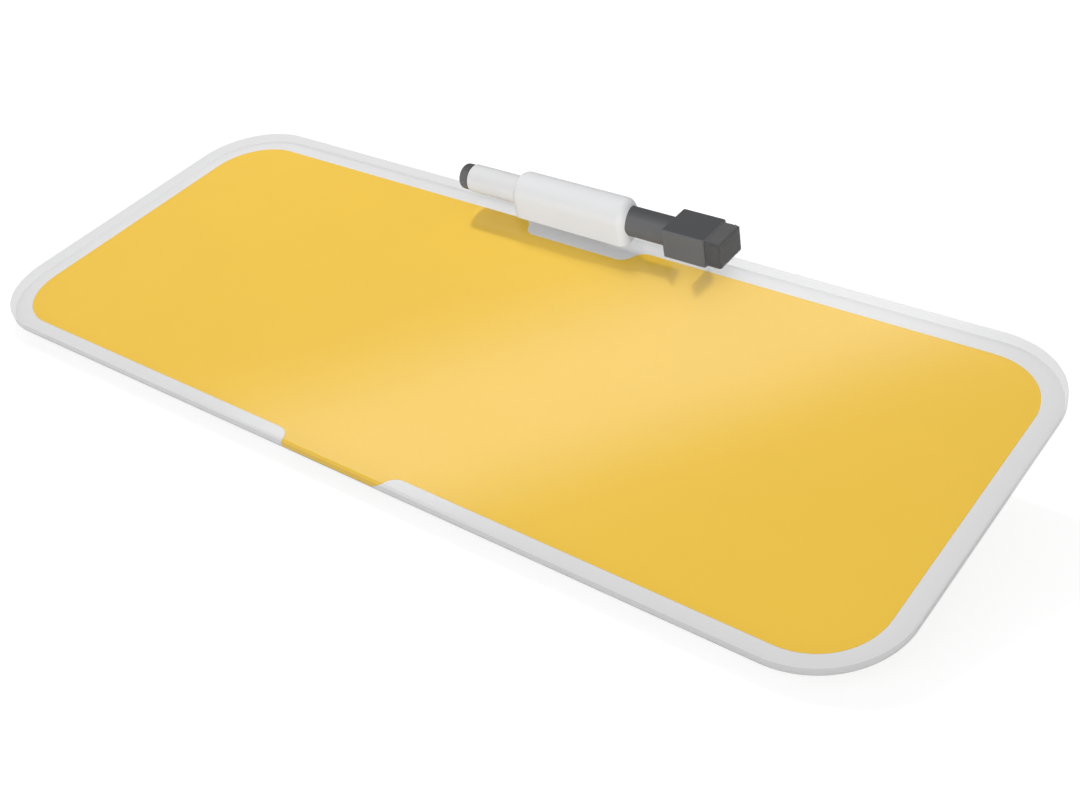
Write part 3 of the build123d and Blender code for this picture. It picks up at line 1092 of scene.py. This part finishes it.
@dataclass
class EraserCap:
    """The dark cap with its end block, and the felt eraser bonded in the block's pocket.

    lumps holds each unevenness's share and its repeats in a metre. A fibre starts fibre_root
    under the felt's skin. fibre_knee and fibre_lean are shares of its length.
    """

    axis_y: float = 0.0693
    axis_z: float = 0.00752
    felt_left: float = 0.0485
    felt_length: float = 0.0151
    felt_depth: float = 0.0138
    felt_height: float = 0.0101
    felt_round: float = 0.0007
    felt_cuts: int = 44
    block_end: float = 0.0575
    lump_depth: float = 0.00007
    lumps: tuple[tuple[float, float], ...] = ((0.7, 700.0), (0.3, 2600.0))
    fibre_length: float = 0.0004
    fibre_radius: float = 0.00003
    fibre_density: float = 6.0e6
    fibre_root: float = 0.00004
    fibre_knee: float = 0.7
    fibre_lean: float = 0.6
    fibre_tilt: float = 0.9
    fibre_scales: tuple[float, float] = (0.5, 1.0)
    fibre_steps: int = 3
    fibre_sides: int = 3
    seed: int = 5

    def felt_block(self) -> BMesh:
        """The pressed block: round edges and a slightly uneven skin, inside its straight sides.

        Returns:
            The block, its middle at the origin.
        """
        shape = bmesh.new()
        bmesh.ops.create_cube(shape, size=1.0)
        bmesh.ops.subdivide_edges(
            shape, edges=shape.edges[:], cuts=self.felt_cuts, use_grid_fill=True
        )
        half = Vector((self.felt_length, self.felt_depth, self.felt_height)) / 2
        core = half - Vector((self.felt_round,) * 3)
        for corner in shape.verts:
            place = Vector(c * 2 * h for c, h in zip(corner.co, half))
            inner = Vector(max(-c, min(c, p)) for p, c in zip(place, core))
            out = (place - inner).normalized()
            uneven = sum(share * noise.noise(place * scale) for share, scale in self.lumps)
            corner.co = inner + out * (self.felt_round - self.lump_depth * (0.5 + 0.5 * uneven))
        return shape

    def fibre_tree(self) -> NodeTree:
        """Builds the tree that stands curled fibres on a block's open end.

        Returns:
            The tree.
        """
        inputs = {"Block": OBJECT, "Seed": INTEGER, "Finish": MATERIAL}
        inputs |= dict.fromkeys(("Open From", "Density", "Length", "Radius", "Tilt"), FLOAT)
        graph, given = new_group("felt fibres", "GeometryNodeTree", inputs, {"Geometry": GEOMETRY})
        block = graph.add("GeometryNodeObjectInfo", {"Object": given["Block"]}).outputs["Geometry"]
        along = graph.part(graph.out("GeometryNodeInputPosition"), "X")
        is_open = graph.math("GREATER_THAN", along, given["Open From"])
        sowing = {"Mesh": block, "Selection": is_open}
        sowing |= {"Density": given["Density"], "Seed": given["Seed"]}
        sown = graph.add("GeometryNodeDistributePointsOnFaces", sowing).outputs
        low = graph.vector(X=graph.math("MULTIPLY", given["Tilt"], -1.0), Z=-math.pi)
        high = graph.vector(X=given["Tilt"], Z=math.pi)
        angles = {0: low, 1: high, "Seed": given["Seed"]}
        bent = graph.out("FunctionNodeRandomValue", angles, data_type="FLOAT_VECTOR")
        bent = graph.out("FunctionNodeEulerToRotation", {0: bent})
        turns = {"Rotation": sown["Rotation"], "Rotate By": bent}
        root = (0.0, 0.0, -self.fibre_root)
        knee = graph.vector(Z=graph.math("MULTIPLY", given["Length"], self.fibre_knee))
        lean = graph.math("MULTIPLY", given["Length"], self.fibre_lean)
        tip = graph.vector(X=lean, Z=given["Length"])
        line = {"Resolution": self.fibre_steps, "Start": root, "Middle": knee, "End": tip}
        ring = {"Resolution": self.fibre_sides, "Radius": given["Radius"]}
        sweep = {
            "Curve": graph.out("GeometryNodeCurveQuadraticBezier", line),
            "Profile Curve": graph.out("GeometryNodeCurvePrimitiveCircle", ring),
            "Fill Caps": True,
        }
        copies = {
            "Points": sown["Points"],
            "Instance": graph.out("GeometryNodeCurveToMesh", sweep),
            "Rotation": graph.out("FunctionNodeRotateRotation", turns, rotation_space="LOCAL"),
            "Scale": graph.chance(given["Seed"], *self.fibre_scales),
        }
        whole = graph.join(block, graph.out("GeometryNodeInstanceOnPoints", copies))
        return graph.end(whole, given["Finish"])

    def build(self, board: BoardFrame) -> None:
        """Makes the felt and dresses the cap.

        Args:
            board: where the board lies.
        """
        dress_nodes(pen_cap=DARK_PLASTIC, cap_liner=LINER_PLASTIC, eraser_bond=FOAM_TAPE)
        place = board.matrix(self.felt_left + self.felt_length / 2, self.axis_y, self.axis_z)
        block = mesh_object("felt_block", self.felt_block(), place, FELT)
        values = {
            "Block": block, "Open From": self.block_end, "Density": self.fibre_density,
            "Length": self.fibre_length, "Radius": self.fibre_radius, "Tilt": self.fibre_tilt,
            "Seed": self.seed, "Finish": material_of(FELT),
        }
        felt = run_tree("eraser_felt_block", self.fibre_tree(), values)
        bpy.data.objects.remove(block)
        place_piece(felt, "cap", ["eraser_felt"])


# Stage, lamps and camera


LAMP_AIM = Vector((0.0, 0.0, 0.025))


@dataclass(frozen=True)
class Lamp:
    """A soft rectangular lamp aimed at the middle of the board.

    Args:
        name: the lamp's name.
        towards: the direction from the board to it.
        distance: how far off it is.
        size: its width and height.
        level: its radiance, where 1 is white.
        turn: how far it is turned about its own aim, in degrees.
        in_gloss: whether polished faces mirror it.
    """

    name: str
    towards: Point
    distance: float
    size: tuple[float, float]
    level: float
    turn: float = 0.0
    in_gloss: bool = True

    def build(self) -> None:
        """Adds the lamp to the scene."""
        lamp = bpy.data.lights.new(self.name, "AREA")
        lamp.shape = "RECTANGLE"
        lamp.size, lamp.size_y = self.size
        lamp.energy = self.level * math.pi * self.size[0] * self.size[1]
        item = add_object(self.name, lamp)
        away = Vector(self.towards).normalized()
        item.location = away * self.distance + LAMP_AIM
        aim = away.to_track_quat("Z", "Y").to_matrix().to_4x4()
        item.rotation_euler = (aim @ Matrix.Rotation(math.radians(self.turn), 4, "Z")).to_euler()
        item.visible_glossy = self.in_gloss
        item.visible_camera = item.visible_transmission = False


@dataclass(frozen=True)
class Studio:
    """The pale floor, the white surround, the lamps and the camera."""

    floor_side: float = 3.0
    floor_cells: int = 8
    floor_shade: float = 0.35
    floor_bounce: float = 0.85
    floor_lift: float = 0.8
    surround_level: float = 0.34
    lens: float = 47.55
    sensor: float = 36.0
    nearest: float = 0.01
    camera_place: Point = (0.2974, -0.3362, 0.2377)
    camera_azimuth: float = 38.47
    camera_elevation: float = 28.32
    lamps: tuple[Lamp, ...] = (
        Lamp("key lamp", (-0.428, 0.389, 0.813), 0.85, (0.067, 0.067), 204.0, in_gloss=False),
        Lamp("strip lamp", (-0.548, 0.373, 0.749), 5.0, (6.0, 0.52), 2.85, turn=-9.0),
        Lamp("strip lamp edge", (-0.520, 0.355, 0.777), 5.0, (6.0, 0.16), 1.0, turn=-9.0),
        Lamp("low front lamp", (0.25, -1.0, 0.08), 2.2, (2.4, 0.34), 10.0, in_gloss=False),
        Lamp("high front lamp", (0.1, -0.8, 0.6), 2.2, (2.0, 1.0), 1.5, in_gloss=False),
        Lamp("right lamp", (1.0, -0.3, 0.15), 2.2, (1.6, 0.5), 4.0, in_gloss=False),
    )

    @staticmethod
    def seen_rays(graph: Graph) -> Socket:
        """1 for rays that come from the camera, straight or through glass."""
        rays = graph.add("ShaderNodeLightPath").outputs
        return graph.math("MAXIMUM", rays["Is Camera Ray"], rays["Is Transmission Ray"])

    def build_surround(self) -> None:
        """Makes the world: white to the camera, softer as a light and in gloss."""
        world = bpy.data.worlds.new("white surround")
        bpy.context.scene.world = world
        world.use_nodes = True
        graph = Graph(world.node_tree)
        level = graph.spread(self.seen_rays(graph), self.surround_level, 1.0)
        graph.feed(world.node_tree.nodes["Background"], {"Color": grey(1.0), "Strength": level})

    def build_floor(self) -> None:
        """Makes the pale floor, which keeps the object's soft shadow."""
        material, graph, surface = new_material("pale floor")
        seen = self.seen_rays(graph)
        sockets = {
            "Base Color": graph.blend(seen, grey(self.floor_bounce), grey(self.floor_shade)),
            "Roughness": 1.0,
            "Specular IOR Level": 0.0,
            "Emission Color": grey(1.0),
            "Emission Strength": graph.spread(seen, 0.0, self.floor_lift),
        }
        graph.feed(surface, sockets)
        shape = bmesh.new()
        cells = self.floor_cells
        bmesh.ops.create_grid(shape, x_segments=cells, y_segments=cells, size=self.floor_side / 2)
        mesh = bpy.data.meshes.new("floor")
        shape.to_mesh(mesh)
        shape.free()
        mesh.materials.append(material)
        add_object("floor", mesh)

    def build_camera(self) -> None:
        """Sets the camera where the photograph was taken from."""
        camera = bpy.data.cameras.new("camera")
        camera.lens = self.lens
        camera.sensor_width = self.sensor
        camera.clip_start = self.nearest
        item = add_object("camera", camera)
        item.location = self.camera_place
        tilt = math.radians(90.0 - self.camera_elevation)
        item.rotation_euler = (tilt, 0.0, math.radians(self.camera_azimuth))
        bpy.context.scene.camera = item

    def build(self) -> None:
        """Makes the whole studio."""
        bpy.context.scene.view_settings.view_transform = "Standard"
        self.build_surround()
        self.build_floor()
        self.build_camera()
        for lamp in self.lamps:
            lamp.build()
        LOG.info("studio: %d lamps", len(self.lamps))


def main() -> None:
    """Builds the studio and each sub-assembly in order."""
    logging.basicConfig(level=logging.INFO, format="%(name)s: %(message)s")
    Studio().build()
    glass = GlassSheet()
    board = BoardFrame.from_frame(glass.thickness)
    glass.build(board)
    Stand().build()
    PenSleeve().build()
    Pen().build()
    EraserCap().build(board)


if __name__ == "__main__":
    main()
